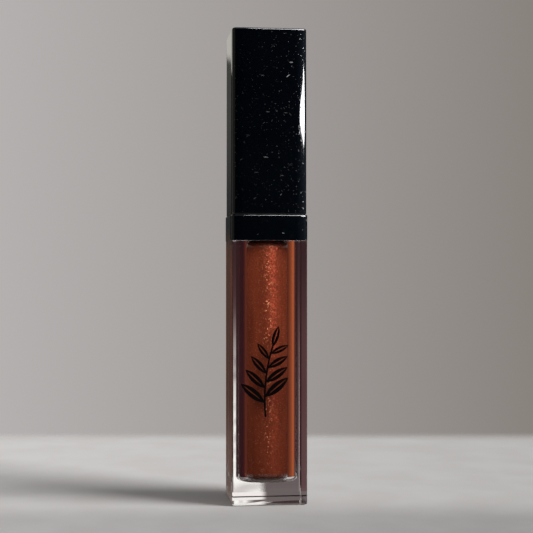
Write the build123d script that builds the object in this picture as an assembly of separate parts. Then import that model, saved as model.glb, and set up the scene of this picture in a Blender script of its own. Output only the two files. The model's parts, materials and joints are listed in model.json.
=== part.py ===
from build123d import *
from math import atan2, cos, degrees, isclose, radians, sin
import os

# Square lip gloss tube with a screw cap and a wand. Every real piece is its own solid.
# Frame: millimetres, +Z up, origin at the centre of the base's underside, printed face towards -Y.

# ---------------------------------------------------------------- driving dimensions

# Outside
side = 17.0  # clear shell, flat to flat
corner_radius = 1.0  # upright corners of the collar and the cap
shell_corner_radius = 0.3  # upright corners of the clear shell
shell_height = 59.4
collar_height = 5.8
cap_gap = 0.1  # open seam between the collar and the cap
cap_height = 41.9

# Clear shell
bore_radius = 7.1
bore_floor = 4.75
bore_floor_radius = 1.2
base_edge_radius = 0.8
shell_rim_radius = 0.15

# Vial inside the shell
vial_clearance = 0.1  # air gap to the shell's bore
vial_wall = 0.5
vial_foot_radius = 2.1
vial_shoulder_radius = 1.5
neck_radius = 5.4
neck_bore_radius = 4.3
neck_height = 76.5
neck_snap_height = 62.3
neck_snap_depth = 0.3
vial_seat_gap = 0.05  # under the vial's foot and over its shoulder

# Collar
collar_proud = 0.2  # how far each side stands out past the shell
collar_edge_radius = 0.2
collar_clearance = 0.1

# Thread on the neck and in the inner cap: right-hand, two starts
thread_starts = 2
thread_pitch = 2.5  # between neighbouring ridges
thread_lead = thread_starts * thread_pitch
ridge_root_half = 0.72
ridge_tip_half = 0.42
ridge_depth = 0.7
thread_clearance = 0.1
thread_root_overlap = 0.1  # how far each ridge is rooted in its wall
neck_thread_foot = 67.4
neck_thread_turns = 1.25
cap_thread_foot = 68.0
cap_thread_turns = 1.0

# Wiper in the neck
wiper_flange_radius = 5.3
wiper_flange_height = 0.8
wiper_wall = 0.6
wiper_depth = 5.9
wiper_funnel_depth = 3.7
wiper_lip_height = 0.7
wiper_lip_wall = 0.5
wiper_clearance = 0.05
rod_clearance = 0.1

# Cap shell
cap_taper = 0.03  # how far each side leans in from the seam to the top
cap_wall = 1.3
cap_top_wall = 1.3
cap_top_edge_radius = 0.45
cap_seam_edge_radius = 0.2
cap_cavity_corner = 0.6

# Inner cap pressed into the cap shell
inner_cap_lift = 0.2  # above the seam
inner_cap_wall = 0.9
inner_cap_play = 0.1
inner_cap_plate = 1.2
inner_cap_rim_height = 1.4
socket_radius = 3.0
socket_height = 10.8
socket_end_wall = 1.3
socket_play = 0.03
rib_thickness = 0.8
rib_reach = 6.4
rib_height = 6.0
mouth_chamfer = 0.35

# Gasket, a loose washer kept on the wand
gasket_radius = 5.6
gasket_thickness = 0.98
seal_play = 0.02

# Wand
rod_radius = 1.8
rod_foot = 22.0
rod_stop_radius = 2.8
rod_stop_height = 1.0
rod_stop_play = 0.1
rod_tip_depth = 5.4

# Doe-foot applicator
tip_foot = 8.5
flock_radius = 2.3
flock_thickness = 0.5
flock_top = 21.6
tip_round = 1.5
flock_shoulder_round = 0.5
core_play = 0.03
core_shoulder_round = 0.2
tenon_radius = 1.0
slant_angle = 32.0  # slanted face, measured from the wand's axis
slant_start = 0.9  # where the slanted face meets the foot, across from the axis

# Lip gloss in the vial
gloss_gap = 0.03
gloss_well_play = 0.12

# Overshoot where one shape is cut or joined by another
past = 1.0
bite = 0.2

# Printed sprig on the front
ink_thickness = 0.04
sprig_centre = (-0.15, 30.2)  # across, up
sprig_half_height = 10.4
stem_bow = 0.8
stem_width = 0.42
leaf_pairs = 4
leaf_longest = 6.9
leaf_shortest = 4.5
tip_leaf = 5.0
leaf_spread = 50.0  # between a leaf and the stem
leaf_plumpness = 0.15  # half width over length
first_leaf = 0.2  # along the stem, from its foot
leaf_step = 0.205
pair_stagger = 0.08
vein_length = 0.74  # share of the leaf
vein_half_width = 0.13

# ---------------------------------------------------------------- heights that follow

collar_top = shell_height + collar_height
cap_foot = collar_top + cap_gap
cap_top = cap_foot + cap_height
vial_radius = bore_radius - vial_clearance
vial_foot = bore_floor + vial_seat_gap
vial_shoulder = shell_height - vial_seat_gap
vial_inside = vial_radius - vial_wall
thread_tip_radius = neck_radius + ridge_depth
inner_bore_radius = thread_tip_radius + thread_clearance
inner_cap_radius = inner_bore_radius + inner_cap_wall
wiper_top = neck_height + wiper_flange_height
gasket_foot = wiper_top + seal_play
plate_foot = gasket_foot + gasket_thickness + seal_play
plate_top = plate_foot + inner_cap_plate
rod_top = plate_top + socket_height - socket_end_wall


# ---------------------------------------------------------------- shared shapes


def square_bar(width, radius, foot, top, lean=0.0):
    """Upright square bar with rounded corners, each side leaning in by lean towards the top."""
    low = Plane.XY.offset(foot) * RectangleRounded(width, width, radius)
    if not lean:
        return extrude(low, top - foot)
    narrow = width - 2 * lean
    high = Plane.XY.offset(top) * RectangleRounded(narrow, narrow, radius)
    return loft([low, high])


def round_bar(radius, foot, top):
    """Upright round bar on the Z axis."""
    return Pos(0, 0, foot) * Cylinder(radius, top - foot, align=(Align.CENTER, Align.CENTER, Align.MIN))


def turned(*profile):
    """Solid of revolution about Z from (radius, height) points."""
    return revolve(make_face(Plane.XZ * Polyline(*profile, close=True)), Axis.Z)


def rounded_can(radius, foot, top, foot_round, top_round):
    """Closed round can with a rounded foot and shoulder."""
    can = round_bar(radius, foot, top)
    rims = can.edges().filter_by(GeomType.CIRCLE).sort_by(Axis.Z)
    can = fillet(rims[0], foot_round)
    rims = can.edges().filter_by(GeomType.CIRCLE).sort_by(Axis.Z)
    return fillet(rims[-1], top_round)


def thread(wall_radius, tip_radius, foot, turns, first_angle):
    """The thread's ridges, one for each start, rooted in the wall and standing out to tip_radius."""
    inward = tip_radius < wall_radius
    root = wall_radius + (thread_root_overlap if inward else -thread_root_overlap)
    outline = Polyline(
        (root, -ridge_root_half),
        (tip_radius, -ridge_tip_half),
        (tip_radius, ridge_tip_half),
        (root, ridge_root_half),
        close=True,
    )
    path = Helix(pitch=thread_lead, height=turns * thread_lead, radius=wall_radius)
    ridge = sweep(make_face(Plane.XZ * outline), path=path, is_frenet=True)
    step = 360 / thread_starts
    return [Pos(0, 0, foot) * Rot(0, 0, first_angle + n * step) * ridge for n in range(thread_starts)]


def doe_foot(radius, foot, top, inset, foot_round, top_round):
    """Round applicator body whose lower end is cut off by the slanted face, moved in by inset."""
    body = rounded_can(radius, foot, top, foot_round, top_round)
    lean = radians(slant_angle)
    outward = (cos(lean), 0, -sin(lean))
    start = (slant_start - inset * outward[0], 0, tip_foot - inset * outward[2])
    cut_off = Box(top, top, top, align=(Align.CENTER, Align.CENTER, Align.MIN))
    return body - Plane(origin=start, z_dir=outward) * cut_off


# ---------------------------------------------------------------- fixed pieces


def runs_up_corner(edge):
    """Whether an edge of the square block runs up one of its four corners."""
    middle = edge.center()
    return abs(middle.X) > side / 4 and isclose(abs(middle.X), abs(middle.Y))


def outer_shell():
    """Clear square block with a round bore: the tube's thick clear wall and base."""
    block = Box(side, side, shell_height, align=(Align.CENTER, Align.CENTER, Align.MIN))
    block = fillet(block.faces().sort_by(Axis.Z)[0].edges(), base_edge_radius)
    block = fillet(block.edges().filter_by(runs_up_corner), shell_corner_radius)
    block = fillet(block.faces().sort_by(Axis.Z)[-1].edges(), shell_rim_radius)
    bore = round_bar(bore_radius, bore_floor, shell_height + past)
    bore = fillet(bore.edges().filter_by(GeomType.CIRCLE).sort_by(Axis.Z)[0], bore_floor_radius)
    return block - bore


def inner_vial():
    """Clear round vial that holds the gloss, with a rounded shoulder and a threaded neck."""
    vial = rounded_can(vial_radius, vial_foot, vial_shoulder, vial_foot_radius, vial_shoulder_radius)
    vial += round_bar(neck_radius, vial_shoulder - bite, neck_height)
    vial += snap_ring(neck_radius, neck_snap_depth)
    for ridge in thread(neck_radius, thread_tip_radius, neck_thread_foot, neck_thread_turns, 0):
        vial += ridge
    vial -= vial_hollow(0)
    neck_bore_foot = vial_shoulder - vial_wall - bite
    return vial - round_bar(neck_bore_radius, neck_bore_foot, neck_height + past)


def vial_hollow(gap):
    """The vial's inside below its neck, kept off the wall by gap."""
    foot, top = vial_foot + vial_wall + gap, vial_shoulder - vial_wall - gap
    foot_round, top_round = vial_foot_radius - vial_wall, vial_shoulder_radius - vial_wall
    return rounded_can(vial_inside - gap, foot, top, foot_round, top_round)


def snap_ring(radius, depth):
    """Ring of triangular section round a bar of the given radius, at the collar's snap."""
    low, high = neck_snap_height - 2 * depth, neck_snap_height + 2 * depth
    return turned(
        (radius - bite, low),
        (radius, low),
        (radius + depth, neck_snap_height),
        (radius, high),
        (radius - bite, high),
    )


def collar():
    """Black square ring snapped on the neck and bonded to the shell's rim."""
    width = side + 2 * collar_proud
    ring = square_bar(width, corner_radius, shell_height, collar_top)
    ring = fillet(ring.faces().sort_by(Axis.Z)[-1].edges(), collar_edge_radius)
    ring = fillet(ring.faces().sort_by(Axis.Z)[0].edges(), collar_edge_radius)
    hole_radius = neck_radius + collar_clearance
    ring -= round_bar(hole_radius, shell_height - past, collar_top + past)
    return ring - snap_ring(hole_radius, neck_snap_depth)


def wiper():
    """Soft cup in the neck, narrowing to a lip that strips gloss off the wand."""
    outer = neck_bore_radius - wiper_clearance
    inner = outer - wiper_wall
    lip = rod_radius + rod_clearance
    funnel_top = neck_height - wiper_depth
    lip_foot = funnel_top - wiper_funnel_depth
    return turned(
        (inner, wiper_top),
        (wiper_flange_radius, wiper_top),
        (wiper_flange_radius, neck_height),
        (outer, neck_height),
        (outer, funnel_top),
        (lip + wiper_lip_wall, lip_foot),
        (lip, lip_foot),
        (lip, lip_foot + wiper_lip_height),
        (inner, funnel_top + wiper_lip_wall),
    )


def lip_gloss():
    """Gloss that fills the vial, with the well that the wand draws through it."""
    well = round_bar(flock_radius + gloss_well_play, tip_foot - gloss_well_play, shell_height)
    return vial_hollow(gloss_gap) - well


# ---------------------------------------------------------------- printed ornament


def lens(length, half_width):
    """Pointed oval along +X."""
    upper = ThreePointArc((0, 0), (0.47 * length, half_width), (length, 0))
    lower = ThreePointArc((length, 0), (0.47 * length, -half_width), (0, 0))
    return make_face([upper, lower])


def leaf(length):
    """Leaf along +X with a clear vein down its middle."""
    vein = lens(vein_length * length, vein_half_width)
    return lens(length, leaf_plumpness * length) - Pos(0.18 * length, 0) * vein


def placed_leaf(stem, place, spread, length):
    """Leaf growing from a place along the stem, turned away from the stem's direction."""
    root, along = stem @ place, stem % place
    turn = degrees(atan2(along.Y, along.X)) + spread
    return Pos(root.X, root.Y) * Rot(0, 0, turn) * leaf(length)


def printed_sprig():
    """Leafy sprig printed in black on the front face."""
    foot = (-stem_bow, -sprig_half_height)
    tip = (stem_bow, sprig_half_height - tip_leaf)
    stem = ThreePointArc(foot, (-stem_bow, (foot[1] + tip[1]) / 2), tip)
    ink = trace(stem, stem_width)
    for pair in range(leaf_pairs):
        length = leaf_longest + (leaf_shortest - leaf_longest) * pair / (leaf_pairs - 1)
        place = first_leaf + leaf_step * pair
        ink += placed_leaf(stem, place, leaf_spread, length)
        ink += placed_leaf(stem, place + pair_stagger, -leaf_spread, length)
    ink += placed_leaf(stem, 0.99, 0, tip_leaf)
    across, up = sprig_centre
    front = Plane(origin=(across, -side / 2, up), x_dir=(1, 0, 0), z_dir=(0, -1, 0))
    return extrude(front * ink, ink_thickness)


# ---------------------------------------------------------------- pieces that leave with the cap


def cap_shell():
    """Black square outer cap, closed at the top and slightly narrower there."""
    block = square_bar(side, corner_radius, cap_foot, cap_top, cap_taper)
    block = fillet(block.faces().sort_by(Axis.Z)[-1].edges(), cap_top_edge_radius)
    block = fillet(block.faces().sort_by(Axis.Z)[0].edges(), cap_seam_edge_radius)
    inside = side - 2 * cap_wall
    return block - square_bar(inside, cap_cavity_corner, cap_foot - past, cap_top - cap_top_wall)


def inner_cap():
    """Liner pressed in the cap shell: thread, sealing plate and the wand's socket."""
    foot = cap_foot + inner_cap_lift
    square = side - 2 * cap_wall - 2 * inner_cap_play
    liner = round_bar(inner_cap_radius, foot, plate_top)
    liner += square_bar(square, cap_cavity_corner, foot, foot + inner_cap_rim_height)
    liner += square_bar(square, cap_cavity_corner, plate_foot, plate_top)
    liner += round_bar(socket_radius, plate_top - bite, plate_top + socket_height)
    for quarter in range(4):
        rib = Box(rib_reach, rib_thickness, rib_height, align=(Align.MIN, Align.CENTER, Align.MIN))
        liner += Rot(0, 0, 90 * quarter) * Pos(0, 0, plate_top - bite) * rib
    mouth = inner_bore_radius + mouth_chamfer
    liner -= turned(
        (0, foot - past),
        (mouth, foot - past),
        (mouth, foot),
        (inner_bore_radius, foot + mouth_chamfer),
        (inner_bore_radius, plate_foot),
        (0, plate_foot),
    )
    between_ridges = neck_thread_foot + thread_pitch / 2
    turn = 360 * (cap_thread_foot - between_ridges) / thread_lead
    tip_radius = inner_bore_radius - ridge_depth
    for ridge in thread(inner_bore_radius, tip_radius, cap_thread_foot, cap_thread_turns, turn):
        liner += ridge
    return liner - round_bar(rod_radius + socket_play, plate_foot - past, rod_top + socket_play)


def seal_gasket():
    """Washer that closes the neck under the cap; the wand runs through it."""
    washer = round_bar(gasket_radius, gasket_foot, gasket_foot + gasket_thickness)
    return washer - round_bar(rod_radius + rod_clearance, gasket_foot - past, plate_foot)


def wand_rod():
    """Straight rod of the wand with a stop ring under the gasket and a socket for the tip."""
    rod = round_bar(rod_radius, rod_foot, rod_top)
    stop_top = gasket_foot - rod_stop_play
    rod += round_bar(rod_stop_radius, stop_top - rod_stop_height, stop_top)
    tenon_end = rod_foot + rod_tip_depth + core_play
    return rod - round_bar(tenon_radius + core_play, rod_foot - past, tenon_end)


def applicator_core(play=0.0):
    """Moulded doe-foot tip under the flock, with a tenon into the rod, grown by play."""
    radius = flock_radius - flock_thickness + play
    foot = tip_foot + flock_thickness - play
    head = rod_foot - core_play
    core = doe_foot(radius, foot, head, flock_thickness - play, tip_round, core_shoulder_round)
    return core + round_bar(tenon_radius, head - bite, rod_foot + rod_tip_depth)


def applicator_flock():
    """Flocked sleeve over the doe-foot tip."""
    sleeve = doe_foot(flock_radius, tip_foot, flock_top, 0, tip_round, flock_shoulder_round)
    return sleeve - applicator_core(core_play)


# ---------------------------------------------------------------- one file for each piece

pieces = {
    "outer_shell": outer_shell(),
    "inner_vial": inner_vial(),
    "collar": collar(),
    "wiper": wiper(),
    "lip_gloss": lip_gloss(),
    "printed_sprig": printed_sprig(),
    "cap_shell": cap_shell(),
    "inner_cap": inner_cap(),
    "seal_gasket": seal_gasket(),
    "wand_rod": wand_rod(),
    "applicator_core": applicator_core(),
    "applicator_flock": applicator_flock(),
}

os.makedirs("parts", exist_ok=True)
for name, piece in pieces.items():
    export_step(piece, f"parts/{name}.step")
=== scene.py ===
import json
import math
import random

import bmesh
import bpy
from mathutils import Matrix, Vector

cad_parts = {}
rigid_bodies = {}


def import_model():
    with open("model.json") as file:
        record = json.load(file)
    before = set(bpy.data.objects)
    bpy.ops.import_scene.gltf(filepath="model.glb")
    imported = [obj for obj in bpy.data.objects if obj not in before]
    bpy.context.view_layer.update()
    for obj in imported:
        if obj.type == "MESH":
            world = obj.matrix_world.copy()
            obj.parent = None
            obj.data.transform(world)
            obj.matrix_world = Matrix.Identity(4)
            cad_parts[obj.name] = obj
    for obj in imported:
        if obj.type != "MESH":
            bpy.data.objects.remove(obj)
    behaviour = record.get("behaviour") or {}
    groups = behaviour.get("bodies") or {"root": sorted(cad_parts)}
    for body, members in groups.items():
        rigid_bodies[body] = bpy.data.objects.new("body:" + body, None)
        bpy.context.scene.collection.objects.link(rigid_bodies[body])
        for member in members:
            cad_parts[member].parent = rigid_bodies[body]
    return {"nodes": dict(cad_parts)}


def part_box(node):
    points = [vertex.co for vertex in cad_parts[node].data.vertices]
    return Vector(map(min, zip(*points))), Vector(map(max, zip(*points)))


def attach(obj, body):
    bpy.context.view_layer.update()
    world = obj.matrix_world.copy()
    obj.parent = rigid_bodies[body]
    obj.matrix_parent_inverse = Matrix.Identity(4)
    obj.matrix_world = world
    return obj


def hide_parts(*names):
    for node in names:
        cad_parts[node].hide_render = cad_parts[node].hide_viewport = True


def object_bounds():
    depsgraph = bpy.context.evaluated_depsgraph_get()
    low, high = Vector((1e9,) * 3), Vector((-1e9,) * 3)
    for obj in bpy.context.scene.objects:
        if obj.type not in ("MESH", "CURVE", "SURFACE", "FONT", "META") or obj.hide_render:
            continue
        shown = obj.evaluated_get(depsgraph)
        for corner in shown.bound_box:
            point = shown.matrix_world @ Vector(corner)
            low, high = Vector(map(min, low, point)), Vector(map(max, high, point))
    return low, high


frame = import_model()
cad_low, cad_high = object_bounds()
nodes = frame["nodes"]
MM = 0.001

# ---------------------------------------------------------------- places worked out from the frame

shell_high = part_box("outer_shell")[1]
gloss_low, gloss_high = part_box("lip_gloss")
cap_low, cap_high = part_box("cap_shell")
collar_low, collar_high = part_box("collar")
wiper_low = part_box("wiper")[0]
flock_low, flock_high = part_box("applicator_flock")
half_side = shell_high.x
total_height = cad_high.z

# ---------------------------------------------------------------- sizes that several pieces share

edge_run = 0.2 * MM  # straight run beside a rounded edge, which keeps the edge's shading off the flat
cap_corner = 0.95 * MM  # upright corners of the cap and the collar
cap_bow = math.radians(6.3)  # how far the flats of the cap and the collar lean in at their corners
flock_slant = math.radians(32)  # slanted face of the doe foot, measured from the wand's axis
flock_pile = 0.3 * MM  # room inside the applicator's outline that its fibres stand in


# ---------------------------------------------------------------- mesh helpers


def finish_mesh(name, bm, material, smooth_angle=35.0):
    """Turns a bmesh into a smooth-shaded object whose edges sharper than smooth_angle stay crisp."""
    bmesh.ops.recalc_face_normals(bm, faces=bm.faces)
    mesh = bpy.data.meshes.new(name)
    bm.to_mesh(mesh)
    bm.free()
    mesh.shade_smooth()
    mesh.set_sharp_from_angle(angle=math.radians(smooth_angle))
    mesh.materials.append(material)
    made = bpy.data.objects.new(name, mesh)
    bpy.context.scene.collection.objects.link(made)
    return made


def skin_rings(bm, rings, round_again=False):
    """Joins rings of equal length with quads. The ends become flat faces, or meet if round_again."""
    loops = [[bm.verts.new(p) for p in ring] for ring in rings]
    if round_again:
        loops.append(loops[0])
    else:
        bm.faces.new(loops[0])
        bm.faces.new(loops[-1])
    count = len(loops[0])
    for low, high in zip(loops, loops[1:]):
        for i in range(count):
            j = (i + 1) % count
            bm.faces.new((low[i], low[j], high[j], high[i]))


def circle_ring(radius, height, angles):
    return [(radius * math.cos(a), radius * math.sin(a), height) for a in angles]


def arc(centre, radius, start, end, steps):
    """Points (radius, height) along an arc; angles in degrees."""
    turns = [math.radians(start + (end - start) * i / steps) for i in range(steps + 1)]
    return [(centre[0] + radius * math.cos(t), centre[1] + radius * math.sin(t)) for t in turns]


def square_section(half, corner, height, inset=0.0, bow=0.0):
    """Rounded square. With a bow (an angle) each flat leans in near the corners, as a moulded face does."""
    true_share, lean_steps, corner_steps = 0.7, 8, 14
    reach = half - corner
    start = true_share * half
    lean = (reach - start) * bow / 2
    radius = (corner - lean) / (math.cos(bow) - math.sin(bow))
    middle = reach - radius * math.sin(bow)
    shoulder = [start + (reach - start) * i / lean_steps for i in range(lean_steps + 1)]
    along = [-y for y in reversed(shoulder)] + [start * i / 3 for i in (-2, -1, 0, 1, 2)] + shoulder
    side = []
    for y in along:
        over = max(0.0, abs(y) - start)
        side.append((half - inset - over * over * bow / (2 * (reach - start)), y))
    for i in range(1, corner_steps):
        a = bow + (math.pi / 2 - 2 * bow) * i / corner_steps
        r = radius - inset
        side.append((middle + r * math.cos(a), middle + r * math.sin(a)))
    points = []
    for quarter in range(4):
        c, s = round(math.cos(quarter * math.pi / 2)), round(math.sin(quarter * math.pi / 2))
        points += [(x * c - y * s, x * s + y * c, height) for x, y in side]
    return points


# ---------------------------------------------------------------- node helper


class Graph:
    """Short way to write one node tree."""

    def __init__(self, owner):
        owner.use_nodes = True
        self.tree = owner.node_tree
        self.tree.nodes.clear()

    def add(self, kind, inputs=None, **settings):
        node = self.tree.nodes.new("ShaderNode" + kind)
        for key, value in settings.items():
            setattr(node, key, value)
        for key, value in (inputs or {}).items():
            self.feed(node.inputs[key], value)
        return node

    def feed(self, socket, value):
        if isinstance(value, bpy.types.NodeSocket):
            self.tree.links.new(value, socket)
        elif socket.type == "RGBA" and len(value) == 3:
            socket.default_value = (*value, 1.0)
        else:
            socket.default_value = value

    def math(self, operation, a, b=0.0, c=0.0, clamp=False):
        node = self.add("Math", operation=operation, use_clamp=clamp)
        for i, value in enumerate((a, b, c)):
            self.feed(node.inputs[i], value)
        return node.outputs[0]

    def vector(self, operation, a, b=(0, 0, 0)):
        node = self.add("VectorMath", {0: a, 1: b}, operation=operation)
        return node.outputs["Value" if operation == "DOT_PRODUCT" else "Vector"]

    def mix(self, factor, a, b, blend="MIX"):
        node = self.add("Mix", data_type="RGBA", blend_type=blend)
        self.feed(node.inputs[0], factor)
        self.feed(node.inputs[6], a)
        self.feed(node.inputs[7], b)
        return node.outputs[2]

    def blend(self, factor, a, b):
        return self.add("MixShader", {0: factor, 1: a, 2: b}).outputs[0]

    def fade(self, value, low, high, out_low=0.0, out_high=1.0):
        """Smooth step from out_low at low to out_high at high."""
        node = self.add("MapRange", interpolation_type="SMOOTHSTEP")
        for i, v in enumerate((value, low, high, out_low, out_high)):
            self.feed(node.inputs[i], v)
        return node.outputs[0]

    def noise(self, scale, detail=3.0, roughness=0.5, vector=None):
        node = self.add("TexNoise", {"Scale": scale, "Detail": detail, "Roughness": roughness})
        self.feed(node.inputs["Vector"], vector or self.place())
        return node.outputs["Fac"]

    def cells(self, scale, vector=None):
        node = self.add("TexVoronoi", {"Scale": scale})
        self.feed(node.inputs["Vector"], vector or self.place())
        return node

    def place(self):
        return self.add("TexCoord").outputs["Object"]

    def stretched(self, scale, turn=(0, 0, 0), shift=0.0):
        """Object coordinates turned, then scaled unevenly, for strokes and streaks."""
        turn = [math.radians(a) for a in turn]
        turned = self.add("Mapping", {"Vector": self.place(), "Rotation": turn}).outputs[0]
        return self.add("Mapping", {"Vector": turned, "Location": [shift] * 3, "Scale": scale}).outputs[0]

    def axes(self, vector):
        return self.add("SeparateXYZ", {0: vector}).outputs

    def join(self, x=0.0, y=0.0, z=0.0):
        return self.add("CombineXYZ", {0: x, 1: y, 2: z}).outputs[0]

    def stops(self, factor, colours):
        """Colour ramp through {place: colour}."""
        node = self.add("ValToRGB", {0: factor})
        ramp = node.color_ramp
        while len(ramp.elements) < len(colours):
            ramp.elements.new(0.5)
        for element, (place, colour) in zip(ramp.elements, sorted(colours.items())):
            element.position = place
            element.color = (*colour, 1.0)
        return node.outputs[0]

    def bump(self, height, distance):
        return self.add("Bump", {"Height": height, "Distance": distance, "Strength": 1.0}).outputs["Normal"]

    def principled(self, **inputs):
        names = {key.replace("_", " ").title().replace("Ior", "IOR"): v for key, v in inputs.items()}
        return self.add("BsdfPrincipled", names).outputs[0]

    def background(self, colour, strength=1.0):
        return self.add("Background", {"Color": colour, "Strength": strength}).outputs[0]

    def output(self, shader, kind="OutputMaterial"):
        node = self.add(kind)
        self.tree.links.new(shader, node.inputs["Surface"])


def new_material(name):
    material = bpy.data.materials.new(name)
    return material, Graph(material)


def srgb(r, g, b):
    """Linear colour from 0-255 display values."""
    return tuple((c / 255 / 12.92) if c < 10.4 else ((c / 255 + 0.055) / 1.055) ** 2.4 for c in (r, g, b))


# ---------------------------------------------------------------- materials


def specks(g, spacing, size, shift=0.0, stretch=(1, 1, 1), turn=(0, 0, 0)):
    """Mask of scattered specks: each is the part of the surface that lies near the middle of a cell."""
    cell = g.cells(1.0, g.stretched([k / spacing for k in stretch], turn, shift))
    chance = g.axes(cell.outputs["Color"])
    reach = g.math("MULTIPLY", chance[0], size / spacing)
    near = g.math("DIVIDE", cell.outputs["Distance"], reach)
    return g.math("MULTIPLY", g.fade(near, 1.0, 0.6), g.math("POWER", chance[1], 3.0))


def clear_plastic(name, tint, let_through, waviness):
    """Clear moulded plastic with faint flow waves; each surface lets through that much lamp light."""
    material, g = new_material(name)
    waves = g.bump(g.noise(160.0, 2.0), waviness)
    glass = g.principled(base_color=tint, roughness=0.0, ior=1.49, transmission_weight=1.0, normal=waves)
    open_air = g.add("BsdfTransparent", {"Color": let_through}).outputs[0]
    g.output(g.blend(g.add("LightPath").outputs["Is Shadow Ray"], glass, open_air))
    return material


def black_gloss():
    """Polished black plastic with hairline scratches, dust and lint that lie thickest on its right."""
    material, g = new_material("black_gloss_plastic")
    busy = g.fade(g.axes(g.place())[0], -0.6 * half_side, 0.7 * half_side, 0.25, 1.0)
    dust = g.math("ADD", specks(g, 0.55 * MM, 0.16 * MM), specks(g, 2.6 * MM, 0.3 * MM, 3.0))
    for shift, turn in ((5.0, (0, 38, 0)), (9.0, (0, -52, 20)), (14.0, (0, 84, -30))):
        lint = specks(g, 1.0 * MM, 0.18 * MM, shift, (1, 1, 0.25), turn)
        dust = g.math("ADD", dust, lint)
    dust = g.math("MULTIPLY", dust, busy, clamp=True)
    smears = g.noise(90.0, 4.0, 0.6)
    scratches = g.noise(1.0, 2.0, 0.5, g.stretched((4500, 4500, 160), (0, 7, 0)))
    rough = g.math("ADD", g.fade(smears, 0.45, 0.75, 0.035, 0.07), g.math("MULTIPLY", dust, 0.5))
    height = g.math("ADD", g.math("MULTIPLY", g.fade(scratches, 0.66, 0.72), -0.2), dust)
    relief = g.bump(height, 0.006 * MM)
    shade = g.mix(g.fade(smears, 0.3, 0.7), srgb(1, 3, 8), srgb(2, 5, 9))
    shade = g.mix(dust, shade, srgb(142, 140, 135))
    g.output(g.principled(base_color=shade, roughness=rough, ior=1.5, normal=relief))
    return material


def shimmer_gloss():
    """Russet gloss with copper flakes; each flake is tilted its own way and so glints on its own."""
    material, g = new_material("shimmer_gloss")
    flake_size, tilt_range = 0.21 * MM, 0.32
    least_flakes, more_flakes = 0.08, 0.1
    cell = g.cells(1 / flake_size).outputs["Color"]
    off_centre = g.vector("SUBTRACT", cell, (0.5, 0.5, 0.5))
    tilt = g.vector("MULTIPLY", off_centre, (tilt_range, tilt_range, tilt_range))
    facing = g.add("NewGeometry").outputs["Normal"]
    flake_normal = g.vector("NORMALIZE", g.vector("ADD", facing, tilt))
    chance = g.axes(cell)
    swirl = g.noise(1.0, 4.0, 0.55, g.stretched((420, 420, 60)))
    body = g.mix(g.fade(swirl, 0.3, 0.7), srgb(106, 54, 36), srgb(122, 63, 43))
    pearl = g.mix(g.fade(chance[0], 0.8, 1.0), srgb(160, 78, 66), srgb(255, 196, 158))
    flakes = g.principled(base_color=pearl, metallic=1.0, roughness=0.36, normal=flake_normal)
    base = g.principled(base_color=body, roughness=0.6, specular_ior_level=0.0)
    share = g.math("MULTIPLY_ADD", chance[2], more_flakes, least_flakes)
    g.output(g.blend(share, base, flakes))
    return material


def plain(name, colour, roughness, grain_scale=1500.0, depth=0.004 * MM, shine=0.5):
    """Moulded material with fine grain, slight colour drift and uneven roughness."""
    material, g = new_material(name)
    grain = g.noise(grain_scale, 4.0)
    drift = g.noise(140.0, 3.0)
    shade = g.mix(g.fade(drift, 0.3, 0.7, 0.0, 0.25), colour, tuple(c * 0.72 for c in colour))
    rough = g.fade(grain, 0.3, 0.7, roughness * 0.85, roughness * 1.2)
    relief = g.bump(grain, depth)
    g.output(g.principled(base_color=shade, roughness=rough, specular_ior_level=shine, normal=relief))
    return material


def filmed_rod():
    """Black rod wiped to a thin, streaked film of gloss, thicker in patches near its lower end."""
    material, g = new_material("rod_plastic")
    flake_size = 0.16 * MM
    streaks = g.noise(1.0, 4.0, 0.6, g.stretched((1700, 1700, 110)))
    patches = g.noise(260.0, 3.0)
    wet = g.math("ADD", streaks, g.math("MULTIPLY", patches, 0.5))
    low = g.fade(g.axes(g.place())[2], wiper_low.z, flock_high.z, 0.25, 1.0)
    film = g.math("MULTIPLY", g.fade(wet, 0.62, 0.86), low)
    cell = g.axes(g.cells(1 / flake_size).outputs["Color"])
    russet = g.mix(g.fade(cell[0], 0.85, 1.0), srgb(112, 48, 32), srgb(226, 150, 112))
    shade = g.mix(film, srgb(12, 12, 14), russet)
    rough = g.mix(film, (0.16, 0.16, 0.16), (0.32, 0.32, 0.32))
    g.output(g.principled(base_color=shade, roughness=rough, normal=g.bump(film, 0.01 * MM)))
    return material


def soft_white(name, colour, roughness, depth):
    """Milky moulded plastic: light bleeds a little, with fine moulding grain and faint flow lines."""
    material, g = new_material(name)
    grain = g.noise(2600.0, 4.0)
    flow = g.noise(1.0, 3.0, 0.5, g.stretched((300, 300, 1400), (4, 0, 0)))
    shade = g.mix(g.fade(flow, 0.35, 0.65), colour, tuple(c * 0.86 for c in colour))
    rough = g.fade(grain, 0.3, 0.7, roughness * 0.8, roughness * 1.25)
    bleed = {"subsurface_weight": 0.25, "subsurface_radius": (0.9, 0.8, 0.7), "subsurface_scale": 0.5 * MM}
    g.output(g.principled(base_color=shade, roughness=rough, normal=g.bump(grain, depth), **bleed))
    return material


def soaked_flock():
    """Nylon fibres soaked with gloss: russet, darker and paler in clumps, with a faint sheen."""
    material, g = new_material("flock_fibre")
    clump_size = 0.2 * MM
    clumps = g.noise(1400.0, 3.0)
    cell = g.axes(g.cells(1 / clump_size).outputs["Color"])
    tone = g.mix(g.fade(clumps, 0.35, 0.65), srgb(116, 50, 34), srgb(158, 84, 62))
    tone = g.mix(g.fade(cell[0], 0.8, 1.0, 0.0, 0.7), tone, srgb(232, 168, 138))
    rough = g.fade(clumps, 0.3, 0.7, 0.34, 0.6)
    sheen = {"sheen_weight": 0.4, "sheen_roughness": 0.4}
    g.output(g.principled(base_color=tone, roughness=rough, normal=g.bump(clumps, 0.01 * MM), **sheen))
    return material


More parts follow.
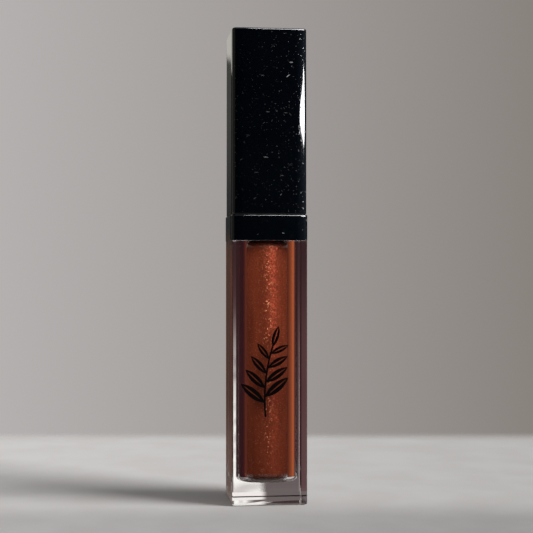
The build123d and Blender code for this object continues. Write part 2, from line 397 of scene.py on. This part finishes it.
shell_clear = clear_plastic("clear_shell_plastic", (1.0, 0.995, 0.985), (0.3, 0.27, 0.25), 0.0015 * MM)
vial_clear = clear_plastic("clear_vial_plastic", (0.995, 0.985, 0.975), (0.95, 0.94, 0.93), 0.001 * MM)
black = black_gloss()
gloss_material = shimmer_gloss()
ink = plain("black_ink", srgb(6, 4, 4), 0.5, shine=0.1)
liner = soft_white("liner_plastic", srgb(222, 220, 214), 0.4, 0.003 * MM)
wiper_soft = soft_white("wiper_plastic", srgb(236, 234, 228), 0.34, 0.002 * MM)
gasket_foam = plain("gasket_foam", srgb(236, 235, 230), 0.7, 2200.0, 0.02 * MM)
rod_black = filmed_rod()
tip_soft = plain("tip_plastic", srgb(226, 222, 212), 0.5)
flock = soaked_flock()


# ---------------------------------------------------------------- pieces


def clear_shell():
    """Square block with a round bore and a thick base; its base edge is rounded less than the CAD's."""
    base_round, rim_round = 0.4 * MM, 0.08 * MM
    corner, least_corner = 0.3 * MM, 0.08 * MM
    bore, floor, floor_round = 7.1 * MM, 4.75 * MM, 1.2 * MM
    top = shell_high.z

    def outside(z, inset=0.0):
        return square_section(half_side - inset, max(corner - inset, least_corner), z)

    rings = []
    for inset, height in arc((base_round, base_round), base_round, 270, 180, 10):
        rings.append(outside(height, inset))
    rings += [outside(base_round + edge_run), outside(top - rim_round - edge_run)]
    for inset, height in arc((rim_round, top - rim_round), rim_round, 180, 90, 5):
        rings.append(outside(height, inset))
    angles = [math.atan2(y, x) for x, y, z in rings[0]]
    rings.append(circle_ring(bore, top, angles))
    rings.append(circle_ring(bore, top - 0.5 * edge_run, angles))
    rings.append(circle_ring(bore, floor + floor_round + 1.5 * edge_run, angles))
    for radius, height in arc((bore - floor_round, floor + floor_round), floor_round, 0, -90, 16):
        rings.append(circle_ring(radius, height, angles))
    rings.append(circle_ring(0.9 * (bore - floor_round), floor, angles))
    bm = bmesh.new()
    skin_rings(bm, rings)
    made = finish_mesh("clear_shell", bm, shell_clear, 60)
    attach(made, "bottle")
    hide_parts("outer_shell")


def gloss_fill():
    """Gloss that wets the vial's inside, with the wand's well down its middle."""
    wet, well_play, around = 0.05 * MM, 0.12 * MM, 180
    radius = gloss_high.x + wet
    low, high = gloss_low.z - wet, gloss_high.z + wet
    foot_round, top_round = 1.6 * MM, 1.0 * MM
    well, well_floor = 2.42 * MM, flock_low.z - well_play
    angles = [2 * math.pi * i / around for i in range(around)]
    outline = [(0.5 * radius, low)]
    outline += arc((radius - foot_round, low + foot_round), foot_round, -90, 0, 14)
    outline += [(radius, low + foot_round + 1.5 * edge_run), (radius, high - top_round - 1.5 * edge_run)]
    outline += arc((radius - top_round, high - top_round), top_round, 0, 90, 10)
    outline += [(well, high), (well, well_floor)]
    bm = bmesh.new()
    skin_rings(bm, [circle_ring(r, z, angles) for r, z in outline])
    made = finish_mesh("gloss_fill", bm, gloss_material, 50)
    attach(made, "bottle")
    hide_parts("lip_gloss")


def cap_can():
    """Square cap whose faces lean in a little near their corners, hollow below for the liner."""
    seam_round, top_round, wall, taper = 0.25 * MM, 0.45 * MM, 1.3 * MM, 0.03 * MM
    low, high = cap_low.z, cap_high.z
    inside, inside_corner, ceiling = half_side - wall, 0.6 * MM, high - wall

    def outside(z, inset=0.0):
        half = half_side - taper * (z - low) / (high - low)
        return square_section(half, cap_corner, z, inset, cap_bow)

    rings = [square_section(inside, inside_corner, ceiling, edge_run)]
    for z in (ceiling, ceiling - edge_run, low + edge_run, low):
        rings.append(square_section(inside, inside_corner, z))
    for inset, height in arc((seam_round, low + seam_round), seam_round, 270, 180, 6):
        rings.append(outside(height, inset))
    rings.append(outside(low + 2 * seam_round))
    rings.append(outside(high - top_round - 1.5 * edge_run))
    for inset, height in arc((top_round, high - top_round), top_round, 180, 90, 8):
        rings.append(outside(height, inset))
    rings.append(outside(high, top_round + 1.5 * edge_run))
    bm = bmesh.new()
    skin_rings(bm, rings)
    made = finish_mesh("cap_can", bm, black, 50)
    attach(made, "cap")
    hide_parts("cap_shell")


def collar_ring():
    """Square ring with the cap's cross-section and soft edges where the seams catch the light."""
    top_round, foot_round, hole = 0.28 * MM, 0.14 * MM, 5.5 * MM
    low, high, half = collar_low.z, collar_high.z, collar_high.x
    outline = arc((foot_round, low + foot_round), foot_round, 270, 180, 5)
    outline += [(0, low + 2 * foot_round), (0, high - 2 * top_round)]
    outline += arc((top_round, high - top_round), top_round, 180, 90, 6)
    rings = [square_section(half, cap_corner, z, inset, cap_bow) for inset, z in outline]
    angles = [math.atan2(y, x) for x, y, z in rings[0]]
    rings += [circle_ring(hole, high, angles), circle_ring(hole, low, angles)]
    bm = bmesh.new()
    skin_rings(bm, rings, round_again=True)
    made = finish_mesh("collar_ring", bm, black, 50)
    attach(made, "bottle")
    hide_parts("collar")


def doe_foot_radius(angle, height):
    """How far the coat under the fibres reaches from its axis, and whether the slanted face limits it."""
    slant_start, tip_round, top_round, least = 0.9 * MM, 1.5 * MM, 0.5 * MM, 0.02 * MM
    above, below = height - (flock_low.z + flock_pile), (flock_high.z - flock_pile) - height
    reach = flock_high.x - flock_pile
    if above < tip_round:
        reach -= tip_round - math.sqrt(max(0.0, tip_round ** 2 - (tip_round - above) ** 2))
    if below < top_round:
        reach -= top_round - math.sqrt(max(0.0, top_round ** 2 - (top_round - below) ** 2))
    if math.cos(angle) > 0:
        rise = (height - flock_low.z) * math.tan(flock_slant)
        flat = (slant_start - flock_pile / math.cos(flock_slant) + rise) / math.cos(angle)
        if flat < reach:
            return max(flat, least), True
    return reach, False


def flocked_tip():
    """Doe-foot coat with short tapered fibres standing out of it, matted down by the gloss."""
    steps, around, fibres = 90, 96, 5200
    fibre_radius, root_depth = 0.028 * MM, 0.02 * MM
    tangle, droop = 0.35, Vector((0, 0, -0.35))
    askew = Vector((0.3, 0.2, 1.0))  # gives each fibre its sideways direction
    low, high = flock_low.z + flock_pile, flock_high.z - flock_pile
    angles = [2 * math.pi * i / around for i in range(around)]

    def on_coat(angle, z):
        reach, on_slant = doe_foot_radius(angle, z)
        return Vector((reach * math.cos(angle), reach * math.sin(angle), z)), on_slant

    heights = [low + (high - low) * i / steps for i in range(steps + 1)]
    bm = bmesh.new()
    skin_rings(bm, [[on_coat(a, z)[0] for a in angles] for z in heights])
    draw = random.Random(7)
    slant_out = Vector((math.cos(flock_slant), 0, -math.sin(flock_slant)))
    for _ in range(fibres):
        angle, z = draw.uniform(0, 2 * math.pi), draw.uniform(low, high)
        root, on_slant = on_coat(angle, z)
        outward = slant_out if on_slant else Vector((math.cos(angle), math.sin(angle), 0))
        matted = Vector([draw.gauss(0, tangle) for _ in range(3)]) + droop
        growth = (outward + matted).normalized() * flock_pile * draw.uniform(0.7, 0.95)
        side = growth.cross(askew).normalized() * fibre_radius
        turn = growth.normalized().cross(side)
        foot = root - outward * root_depth
        ring = [bm.verts.new(foot + side * math.cos(t) + turn * math.sin(t)) for t in (0.0, 2.1, 4.2)]
        tip = bm.verts.new(foot + growth)
        bm.faces.new(ring)
        for i in range(3):
            bm.faces.new((ring[i], ring[(i + 1) % 3], tip))
    made = finish_mesh("flocked_tip", bm, flock, 50)
    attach(made, "cap")
    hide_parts("applicator_flock")


clear_shell()
gloss_fill()
cap_can()
collar_ring()
flocked_tip()

for node, material in {
    "inner_vial": vial_clear,
    "printed_sprig": ink,
    "inner_cap": liner,
    "wiper": wiper_soft,
    "seal_gasket": gasket_foam,
    "wand_rod": rod_black,
    "applicator_core": tip_soft,
}.items():
    nodes[node].data.materials[0] = material


# ---------------------------------------------------------------- stage, lights and camera

view_azimuth = -6.44  # degrees; the camera stands a little to the left of the printed face
camera_distance = 291.7 * MM
camera_height = 53.57 * MM
camera_aside = 0.22 * MM
lens = 85.28  # on a 36 mm sensor


def direction(azimuth, elevation=0.0):
    """Unit vector from the object towards azimuth (0 is -Y, 90 is +X) and elevation, in degrees."""
    a, e = math.radians(azimuth), math.radians(elevation)
    return Vector((math.sin(a) * math.cos(e), -math.cos(a) * math.cos(e), math.sin(e)))


def place_camera():
    data = bpy.data.cameras.new("camera")
    data.lens = lens
    data.clip_start, data.clip_end = 0.01, 20.0
    focus = bpy.data.objects.new("focus", None)
    focus.location = (0, 0, total_height / 2)
    bpy.context.scene.collection.objects.link(focus)
    data.dof.use_dof = True
    data.dof.focus_object = focus
    data.dof.aperture_fstop = 45.0
    camera = bpy.data.objects.new("camera", data)
    back = direction(view_azimuth)
    right = Vector((-back.y, back.x, 0))
    camera.location = back * camera_distance + right * camera_aside + Vector((0, 0, camera_height))
    camera.rotation_mode = "QUATERNION"
    camera.rotation_quaternion = (-back).to_track_quat("-Z", "Y")
    bpy.context.scene.collection.objects.link(camera)
    bpy.context.scene.camera = camera


def lamp(name, place, distance, size, power, colour, lights, hidden=()):
    """Elliptical softbox aimed at the middle of the tube from place, an azimuth and an elevation in degrees.

    Distance and size are in metres. It lights only the listed objects, and rays of the hidden kinds miss it.
    """
    data = bpy.data.lights.new(name, "AREA")
    data.shape = "ELLIPSE"
    data.size, data.size_y = size
    data.energy = power
    data.color = colour
    box = bpy.data.objects.new(name, data)
    towards = direction(*place)
    box.location = Vector((0, 0, total_height / 2)) + towards * distance
    box.rotation_mode = "QUATERNION"
    box.rotation_quaternion = towards.to_track_quat("Z", "Y")
    bpy.context.scene.collection.objects.link(box)
    for kind in ("camera", "transmission", *hidden):
        setattr(box, "visible_" + kind, False)
    group = bpy.data.collections.new(name + "_reaches")
    for item in lights:
        group.objects.link(item)
    box.light_linking.receiver_collection = group


def floor():
    """Pale table top with painted shade towards the right and the near side; its far edge runs straight
    behind the tube.

    Shallow rays from the plastic or from a polished face pass through it and reach the staged rooms.
    """
    material, g = new_material("table_top")
    grain = g.noise(60.0, 5.0)
    shade = g.mix(g.fade(grain, 0.35, 0.65), srgb(236, 235, 236), srgb(230, 228, 228))
    away = -direction(view_azimuth)
    right = Vector((away.y, -away.x, 0))
    depth = g.vector("DOT_PRODUCT", g.place(), tuple(away))
    across = g.axes(g.add("TexCoord").outputs["Window"])[0]
    # Painted shade: the table's colour darkens towards the right of the view and towards the camera, in
    # place of light falling off.
    painted_shade_right = g.fade(across, -0.2, 1.2, 1.02, 0.76)
    painted_shade_near = g.fade(depth, -26 * MM, 2 * MM, 0.62, 0.89)
    painted_light_falloff = g.math("MULTIPLY", painted_shade_right, painted_shade_near)
    shade = g.mix(1.0, shade, g.join(painted_light_falloff, painted_light_falloff, painted_light_falloff), "MULTIPLY")
    top = g.principled(base_color=shade, roughness=0.8, specular_ior_level=0.12)
    slant = g.axes(g.add("NewGeometry").outputs["Incoming"])[2]
    shallow = g.fade(slant, math.sin(math.radians(20)), math.sin(math.radians(13)))
    path = g.add("LightPath").outputs
    indirect = g.math("MAXIMUM", path["Is Transmission Ray"], path["Is Glossy Ray"])
    seen_through = g.math("MULTIPLY", indirect, shallow)
    far_edge, near_edge, half_width, thickness = 118 * MM, -700 * MM, 900 * MM, 20 * MM
    soft_edge, gap = 22 * MM, 0.1 * MM
    clear = g.math("MAXIMUM", seen_through, g.fade(depth, far_edge - soft_edge, far_edge))
    g.output(g.blend(clear, top, g.add("BsdfTransparent").outputs[0]))
    near_side = [(near_edge, -half_width), (near_edge, half_width)]
    far_side = [(far_edge, half_width), (far_edge, -half_width)]
    under_base = Vector((0, 0, -gap))
    top_ring = [away * along + right * side + under_base for along, side in near_side + far_side]
    bm = bmesh.new()
    skin_rings(bm, [top_ring, [p - Vector((0, 0, thickness)) for p in top_ring]])
    table = finish_mesh("table_top", bm, material)


def base_card():
    """Low glowing card behind the clear base, seen only through it: painted light, pale on the left, and
    painted shade, grey-brown on the right.
    """
    material, g = new_material("base_card")
    across, change = g.axes(g.place())[0], 0.9 * MM
    # Painted light and shade: the card glows pale on its left and grey-brown on its right.
    tone = g.mix(g.fade(across, -change, change), srgb(246, 240, 238), srgb(104, 94, 95))
    g.output(g.add("Emission", {"Color": tone}).outputs[0])
    gap, height, low = 0.25 * MM, 0.95 * MM, -0.1 * MM
    bm = bmesh.new()
    y = half_side + gap
    corners = [(-half_side, y, low), (half_side, y, low), (half_side, y, height), (-half_side, y, height)]
    bm.faces.new([bm.verts.new(p) for p in corners])
    card = finish_mesh("base_card", bm, material)
    for kind in ("camera", "diffuse", "glossy", "shadow"):
        setattr(card, "visible_" + kind, False)


def spot(g, heading, azimuth, elevation, inner, outer):
    """1 inside a cone about a direction, fading to 0 at outer; all angles in degrees."""
    along = g.vector("DOT_PRODUCT", heading, tuple(direction(azimuth, elevation)))
    return g.fade(along, math.cos(math.radians(outer)), math.cos(math.radians(inner)))


def azimuth_of(g, heading):
    """Azimuth in degrees, from -180 to 180."""
    x, y = g.axes(heading)[:2]
    return g.math("MULTIPLY", g.math("ARCTAN2", x, g.math("MULTIPLY", y, -1.0)), math.degrees(1.0))


def seen_through_plastic(g, heading, bounces):
    """The warm dark room that the clear plastic bends into view, with a bright streaked strip behind it.

    Azimuths are where the ray leaves for; the main camera's straight view leaves for about 174 degrees.
    """
    azimuth = azimuth_of(g, heading)
    height = g.axes(heading)[2]
    steep = g.math("ABSOLUTE", height)
    colours = {
        -180: (92, 64, 64),
        -172: (88, 60, 61),
        -168: (52, 30, 34),
        -160: (44, 25, 28),
        -120: (46, 21, 26),
        -102: (60, 26, 26),
        -88: (96, 44, 30),
        20: (36, 22, 22),
        60: (52, 28, 26),
        84: (104, 48, 32),
        104: (136, 68, 40),
        120: (172, 88, 52),
        140: (150, 78, 52),
        150: (90, 46, 38),
        166: (60, 36, 38),
        172: (92, 64, 64),
    }
    ramp = {a / 360 + 0.5: srgb(*c) for a, c in colours.items()}
    room = g.stops(g.math("MULTIPLY_ADD", azimuth, 1 / 360, 0.5), ramp)
    # Straight behind, the room is darker from eye level up, paler low down and grey at steep angles.
    behind = g.fade(g.math("ABSOLUTE", azimuth), 160, 170)
    shade = g.math("MULTIPLY", g.fade(height, -0.08, 0.02, 0.0, 0.7), behind)
    room = g.mix(shade, room, srgb(30, 18, 22))
    low = g.math("MULTIPLY", g.fade(height, -0.09, -0.16, 0.0, 0.35), behind)
    room = g.mix(low, room, srgb(108, 84, 86))
    under = g.math("MULTIPLY", g.fade(steep, 0.148, 0.156), g.fade(azimuth, 150, 165))
    room = g.mix(under, room, srgb(105, 95, 96))
    # Painted shade: a ray that has met more than four surfaces, as one mirrored more than once inside the
    # plastic does, sees dark brown in place of the room.
    room = g.mix(g.math("GREATER_THAN", bounces, 4.5), room, srgb(50, 30, 32))
    # From the side or from behind, a view that passes straight through or rises sees plain grey.
    straight = g.math("MAXIMUM", g.math("LESS_THAN", bounces, 3.5), g.fade(height, 0.03, 0.06))
    aside = g.fade(g.math("ABSOLUTE", azimuth), 155, 140)
    room = g.mix(g.math("MULTIPLY", straight, aside), room, srgb(150, 146, 143))
    # The bright strip starts at a hard edge just left of the camera's straight view.
    strip = g.math("MULTIPLY", g.fade(azimuth, 173.73, 173.77), g.fade(azimuth, 179.0, 177.0))
    strip = g.math("MULTIPLY", strip, g.fade(steep, 0.02, 0.14))
    stretch = g.join(g.math("MULTIPLY", azimuth, 0.5), g.math("MULTIPLY", height, 190.0))
    streaks = g.noise(1.0, 3.0, 0.6, stretch)
    cream = g.mix(g.fade(streaks, 0.36, 0.54), srgb(190, 180, 181), srgb(255, 254, 249))
    return g.mix(strip, room, cream)


def reflected_room(g, heading):
    """A dark studio with a dim panel at the right, a pale ceiling and a light corner behind on the left."""
    azimuth = azimuth_of(g, heading)
    height = g.axes(heading)[2]
    room = g.mix(spot(g, heading, 62, 0, 15, 60), srgb(8, 10, 16), srgb(118, 130, 146))
    room = g.mix(g.fade(height, 0.55, 0.9), room, srgb(226, 228, 234))
    left = g.fade(g.math("MULTIPLY", azimuth, -1.0), 25.0, 55.0)
    room = g.mix(left, room, srgb(118, 120, 110))
    # Behind on the left, which the cap's left face mirrors at a grazing angle: three bands, each darker
    # towards its outer side, under a bright patch with a slanting lower edge.
    behind = g.fade(azimuth, -150.0, -165.0)
    outer = g.fade(azimuth, -174.6, -172.5)
    paler_up = g.mix(g.fade(height, 0.03, 0.12), srgb(54, 53, 54), srgb(78, 78, 75))
    high = g.mix(outer, paler_up, srgb(28, 28, 29))
    middle = g.mix(outer, srgb(72, 60, 53), srgb(22, 10, 10))
    low = g.mix(outer, srgb(104, 88, 82), srgb(80, 58, 58))
    bands = g.mix(g.fade(height, 0.03, 0.02), high, g.mix(g.fade(height, -0.1, -0.15), middle, low))
    room = g.mix(behind, room, bands)
    edge = g.fade(azimuth, -177.0, -172.0, 0.166, 0.152)
    patch = g.fade(g.math("SUBTRACT", height, edge), -0.002, 0.002)
    return g.mix(g.math("MULTIPLY", behind, patch), room, srgb(214, 211, 202))


def surroundings():
    """One room seen four ways: by the camera, as soft light, in reflections and through the plastic."""
    world = bpy.data.worlds.new("studio")
    bpy.context.scene.world = world
    g = Graph(world)
    path = g.add("LightPath").outputs
    coordinates = g.add("TexCoord").outputs
    heading = coordinates["Generated"]
    across = g.axes(coordinates["Window"])[0]
    # Painted shade: the backdrop seen by the camera darkens from the left of the view to the right.
    wall = g.background(g.mix(across, srgb(180, 176, 175), srgb(137, 131, 126)))
    soft = g.background((1.0, 0.985, 0.97), 0.23)
    mirrored = g.background(reflected_room(g, heading))
    through = g.background(seen_through_plastic(g, heading, path["Ray Depth"]))
    light = g.blend(path["Is Glossy Ray"], soft, mirrored)
    light = g.blend(path["Is Transmission Ray"], light, through)
    g.output(g.blend(path["Is Camera Ray"], light, wall), "OutputWorld")


floor()
base_card()
surroundings()
objects = bpy.data.objects
table = objects["table_top"]
gloss = objects["gloss_fill"]
outside = [o for o in objects if o.type == "MESH" and o not in (gloss, table)]
black_pieces = [objects["cap_can"], objects["collar_ring"]]
white = (1.0, 1.0, 1.0)
warm = (1.0, 0.95, 0.92)
lamp("key", (67, 27), 5.0, (3.0, 3.0), 372.0, (1.0, 0.985, 0.96), outside + [table], ("glossy",))
lamp("fill_in_plastic", (-34, 30), 0.11, (0.08, 0.08), 1.15, warm, [gloss], ("glossy",))
lamp("side_in_plastic", (50, 30), 0.11, (0.08, 0.08), 1.65, warm, [gloss], ("glossy",))
lamp("glint_in_plastic", (18, 10), 0.12, (0.02, 0.08), 1.35, (1.0, 0.93, 0.9), [gloss], ("diffuse",))
lamp("back_in_plastic", (205, 20), 0.4, (0.4, 0.3), 12.0, warm, [gloss])
lamp("edge_softbox", (40, 10.6), 0.6, (0.54, 0.053), 3.2, white, black_pieces, ("diffuse",))
lamp("corner_softbox", (40, 45), 0.6, (0.5, 0.5), 14.0, white, black_pieces, ("diffuse",))
place_camera()
scene = bpy.context.scene
scene.view_settings.view_transform = "Standard"
scene.cycles.max_bounces = 24
scene.cycles.transmission_bounces = 20
scene.cycles.glossy_bounces = 12
